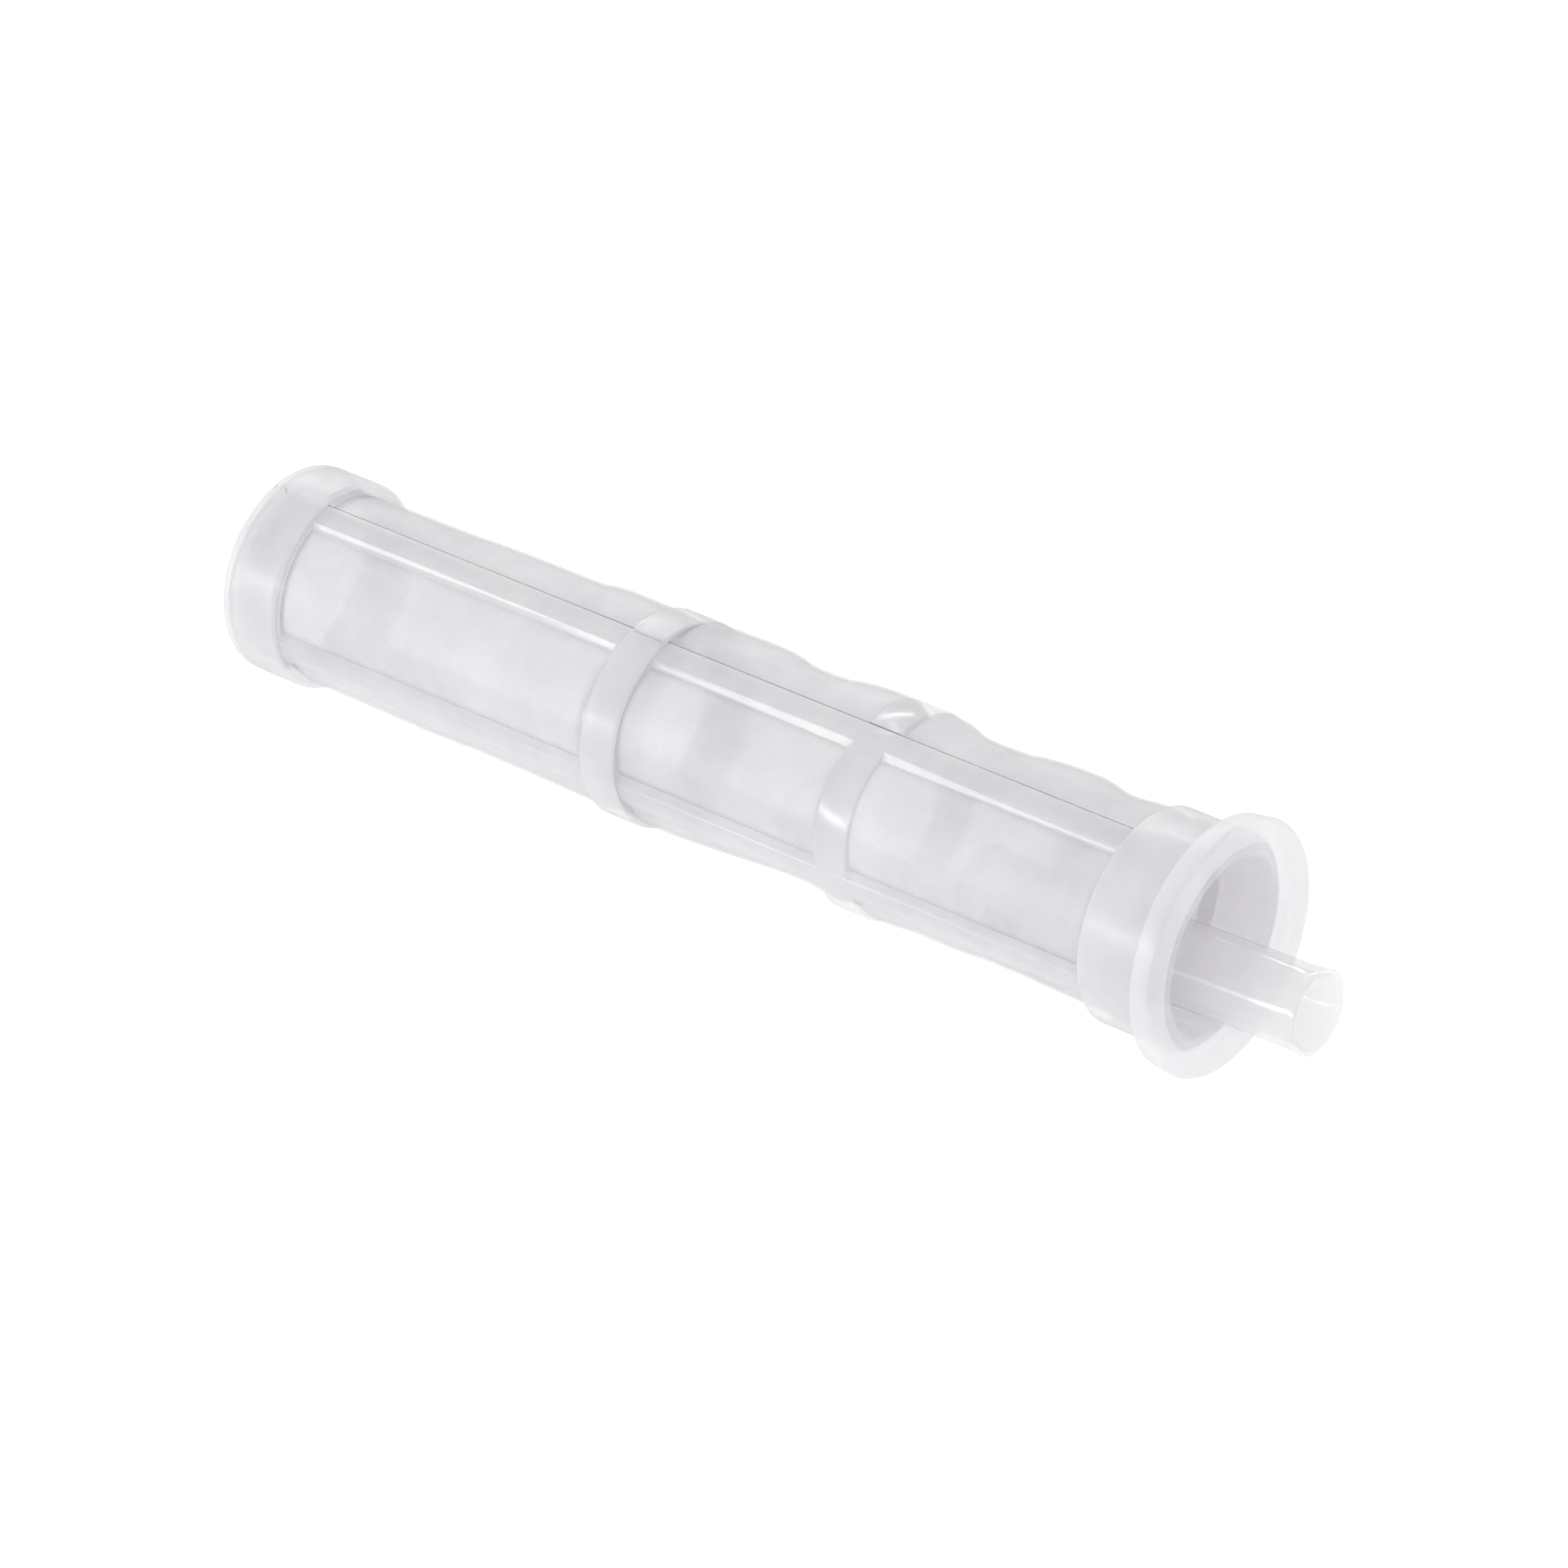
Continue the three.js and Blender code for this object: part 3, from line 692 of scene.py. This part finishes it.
def sleeve_tree():
    """A slack sleeve round the axis, with its UV map in metres."""
    tree, given, output = shape_tree("slack sleeve", {
        "Start": 0.0, "End": 0.03, "Radius": 0.0074, "Row 1 Start": 0.0, "Row 1 End": 0.01,
        "Row 2 Start": 0.02, "Row 2 End": 0.03, "Held Edge": 0.0004, "Wrinkle": 0.0001, "Seed": 4.0,
        "Steps Along": 150, "Steps Round": 161, "Material": nylon,
    })
    maths = formula(tree)
    grid = add_node(tree, "GeometryNodeMeshGrid", {
        "Size X": 1.0, "Size Y": 1.0, "Vertices X": given["Steps Along"], "Vertices Y": given["Steps Round"]})
    place = add_node(tree, "GeometryNodeInputPosition").outputs["Position"]
    corner = add_node(tree, "ShaderNodeSeparateXYZ", {"Vector": place}).outputs
    length = maths("SUBTRACT", given["End"], given["Start"])
    station = maths("ADD", given["Start"], maths("MULTIPLY", length, maths("ADD", corner["X"], 0.5)))
    quarter = 2 * math.pi / RIB_COUNT
    window_start = RIB_PHASE + RIB_FOOT / 2
    turn = maths("MULTIPLY", maths("ADD", corner["Y"], 0.5), 2 * math.pi)
    angle = maths("ADD", turn, window_start - quarter)
    in_quarter = maths("MODULO", turn, quarter)
    across = maths("MINIMUM", maths("DIVIDE", in_quarter, quarter - RIB_FOOT), 1.0)
    arch = maths("SINE", maths("MULTIPLY", across, math.pi))
    pillow = maths("POWER", maths("MAXIMUM", arch, 0.0), PILLOW)
    fraction = maths("DIVIDE", station, BODY_LENGTH * MM)
    upper = slack_curve(tree, fraction, [
        (0, 0.05), (10, 0.08), (16, 0.16), (22, 0.32), (28, 0.34), (32, 0.66), (36, 0.64), (39, 0.85),
        (46, 0.92), (50, 0.42), (54, 0.76), (58.5, 1.0), (62.5, 0.9), (65, 0.32), (67, 0.2), (71, 0.5),
        (75.5, 0.74), (78.8, 0.3), (82, 0.55), (90.8, 0.5)])
    lower = slack_curve(tree, fraction, [
        (0, 0.45), (12, 0.5), (18, 0.56), (25, 0.42), (33, 0.52), (41, 0.62), (46, 0.42), (51, 0.08),
        (54.5, -0.08), (57, 0.02), (62, 0.5), (66, 0.28), (70, 0.26), (74, 0.1), (79, 0.2), (90.8, 0.3)])
    towards_upper = maths("COSINE", maths("SUBTRACT", angle, UPPER_SIDE))
    facing = maths("ADD", maths("MULTIPLY", towards_upper, 0.5), 0.5)
    slack = maths("ADD", maths("MULTIPLY", upper, facing),
                  maths("MULTIPLY", lower, maths("SUBTRACT", 1.0, facing)))
    rows = maths("MAXIMUM",
                 held_between(tree, station, given["Row 1 Start"], given["Row 1 End"], given["Held Edge"]),
                 held_between(tree, station, given["Row 2 Start"], given["Row 2 End"], given["Held Edge"]))
    flat = on_axis(tree, station, given["Radius"], angle)
    noise = add_node(tree, "ShaderNodeTexNoise", {
        "Vector": flat, "W": given["Seed"], "Scale": 240.0, "Detail": 1.5}, noise_dimensions="4D")
    wrinkle = maths("MULTIPLY", maths("SUBTRACT", noise.outputs["Fac"], 0.5), given["Wrinkle"])
    lift = maths("MULTIPLY", maths("MULTIPLY", pillow, rows),
                 maths("ADD", maths("MULTIPLY", slack, SLACK_FULL * MM), wrinkle))
    girth = maths("MULTIPLY", given["Radius"], 2 * math.pi)
    uv = add_node(tree, "ShaderNodeCombineXYZ", {
        "X": maths("MULTIPLY", length, maths("ADD", corner["X"], 0.5)),
        "Y": maths("MULTIPLY", girth, maths("ADD", corner["Y"], 0.5)),
    })
    cloth = add_node(tree, "GeometryNodeStoreNamedAttribute", {
        "Geometry": grid.outputs["Mesh"], "Name": "UVMap", "Value": uv.outputs["Vector"]},
        data_type="FLOAT2", domain="CORNER")
    bent = add_node(tree, "GeometryNodeSetPosition", {
        "Geometry": cloth.outputs["Geometry"],
        "Position": on_axis(tree, station, maths("ADD", given["Radius"], lift), angle),
    })
    sewn = add_node(tree, "GeometryNodeMergeByDistance",
                    {"Geometry": bent.outputs["Geometry"], "Distance": 1e-6})
    real = add_node(tree, "GeometryNodeRealizeInstances", {"Geometry": sewn.outputs["Geometry"]})
    painted = add_node(tree, "GeometryNodeSetMaterial",
                       {"Geometry": real.outputs["Geometry"], "Material": given["Material"]})
    feed(tree, output.inputs["Geometry"], painted.outputs["Geometry"])
    return tree


sleeves = sleeve_tree()


def sleeve(name, start, end, rows, steps_along, node):
    """A sleeve between two stations, slack in one or two rows of windows, as a finished piece."""
    cloth = shaped(name, sleeves, {
        "Start": start * MM, "End": end * MM, "Radius": MESH_R * MM, "Row 1 Start": rows[0][0] * MM,
        "Row 1 End": rows[0][1] * MM, "Row 2 Start": rows[-1][0] * MM, "Row 2 End": rows[-1][1] * MM,
        "Steps Along": steps_along,
    })
    obj = working_object(cloth, name)
    thick = obj.modifiers.new("cloth", "SOLIDIFY")
    thick.thickness = CLOTH_THICKNESS * MM
    thick.offset = -1
    return finished(name, evaluated_mesh(obj), nylon, "filter_mesh", "cage", node, sharp_deg=60)


far_row = (FAR_COLLAR_END, COUPLING[0] - 0.35)
middle_row = (COUPLING[1] - CLOTH_TUCK, MID_RING[0])
near_row = (MID_RING[1] - CLOTH_TUCK, NEAR_COLLAR_START)
sleeve("far_mesh_piece", CAP_RIM + 0.1, COUPLING[0] + 2.4, [far_row], 120, "far_mesh_sleeve")
sleeve("near_mesh_piece", COUPLING[0] + 2.6, MESH_END, [middle_row, near_row], 150, "near_mesh_sleeve")

# %% [markdown]
# ## The hidden pieces
#
# The hoop inside the coupling and the seal plug keep their CAD shapes and only get their finishes.

# %% Finishes on CAD nodes
for node, material in (("centre_hoop", cage_plastic), ("seal_plug", seal_rubber)):
    for material_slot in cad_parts[node].material_slots:
        material_slot.material = material
    print(f"{node}: finished in {material.name}")

# %% [markdown]
# ## Floor
#
# A pale plastic object on white is lit by its surroundings more than by lamps. The floor is a plain plane
# that glows just enough to stay white under it.

# %% Floor
floor_mesh = bpy.data.meshes.new("floor")
FLOOR_REACH = 3.0
FLOOR_GLOW = 0.85
floor_corners = [(x * FLOOR_REACH, y * FLOOR_REACH, 0) for x, y in ((-1, -1), (1, -1), (1, 1), (-1, 1))]
floor_mesh.from_pydata(floor_corners, [], [(0, 1, 2, 3)])
floor_paint = bpy.data.materials.new("white_floor")
floor_paint.use_nodes = True
floor_shader = floor_paint.node_tree.nodes["Principled BSDF"]
floor_shader.inputs["Base Color"].default_value = (0.3, 0.3, 0.3, 1)
floor_shader.inputs["Roughness"].default_value = 0.9
floor_shader.inputs["Emission Color"].default_value = (1, 1, 1, 1)
floor_shader.inputs["Emission Strength"].default_value = FLOOR_GLOW
floor_mesh.materials.append(floor_paint)
floor = working_object(floor_mesh, "floor")
print(f"floor: {2 * FLOOR_REACH:.0f} m square")

# %% [markdown]
# ## Light
#
# The sky is nearly even, a little brighter overhead. Two lamps only make highlights, so diffuse shading
# leaves them out: a long low strip for the ribs' lower bevels, and a smaller, higher one for the streak
# along the tube. Light crosses many pale walls before it comes out of the mouth again, so the paths have
# to be long.

# %% Surroundings
SKY_STRENGTH = 0.94
world = bpy.data.worlds.new("studio")
world.use_nodes = True
bpy.context.scene.world = world
sky = world.node_tree
sky_place = add_node(sky, "ShaderNodeTexCoord").outputs["Generated"]
heading = add_node(sky, "ShaderNodeSeparateXYZ", {"Vector": sky_place})
gradient = add_node(sky, "ShaderNodeValToRGB", {"Fac": heading.outputs["Z"]})
gradient.color_ramp.elements[0].position = 0.0
gradient.color_ramp.elements[0].color = (0.86, 0.86, 0.87, 1)
gradient.color_ramp.elements[1].position = 0.9
gradient.color_ramp.elements[1].color = (1.0, 1.0, 1.0, 1)
feed(sky, sky.nodes["Background"].inputs["Color"], gradient.outputs["Color"])
sky.nodes["Background"].inputs["Strength"].default_value = SKY_STRENGTH


def softbox(name, direction, size, brightness, distance=0.6):
    """A rectangular lamp that faces the object and only makes highlights, with its surface's brightness."""
    lamp = bpy.data.lights.new(name, "AREA")
    lamp.shape = "RECTANGLE"
    lamp.size, lamp.size_y = size
    lamp.energy = brightness * math.pi * size[0] * size[1]
    obj = working_object(lamp, name)
    towards = Vector(direction).normalized()
    obj.location = Vector((0, 0, AXIS_HEIGHT)) + towards * distance
    obj.rotation_euler = towards.to_track_quat("Z", "Y").to_euler()
    obj.visible_diffuse = False


softbox("low_strip", (-0.54, -0.84, 0.08), (0.6, 0.07), 40.0)
softbox("high_softbox", (-0.543, 0.604, 0.583), (0.24, 0.08), 26.0)
bpy.context.scene.view_settings.view_transform = "Standard"
light_paths = bpy.context.scene.cycles
light_paths.transparent_max_bounces = 32
light_paths.max_bounces = 32
light_paths.diffuse_bounces = 24
print("longest light path:", light_paths.max_bounces, "bounces")

# %% [markdown]
# ## Camera
#
# A long lens looks at the middle of the cage from the mouth's side and from above. A small shift sets
# where the object sits in the frame.

# %% Camera
AZIMUTH, ELEVATION = math.radians(39.04), math.radians(30.34)
DISTANCE = 0.5132
camera_data = bpy.data.cameras.new("camera")
camera_data.sensor_width = 36
camera_data.lens = 156.5
camera_data.shift_x = 0.02857
camera_data.shift_y = -0.02283
camera = working_object(camera_data, "camera")
back = Vector((math.sin(AZIMUTH) * math.cos(ELEVATION), -math.cos(AZIMUTH) * math.cos(ELEVATION),
               math.sin(ELEVATION)))
camera.location = Vector((FAR_END + BODY_LENGTH / 2 * MM, 0, AXIS_HEIGHT)) + back * DISTANCE
camera.rotation_euler = back.to_track_quat("Z", "Y").to_euler()
bpy.context.scene.camera = camera
print(f"camera: {camera_data.lens} mm lens, {DISTANCE} m away")
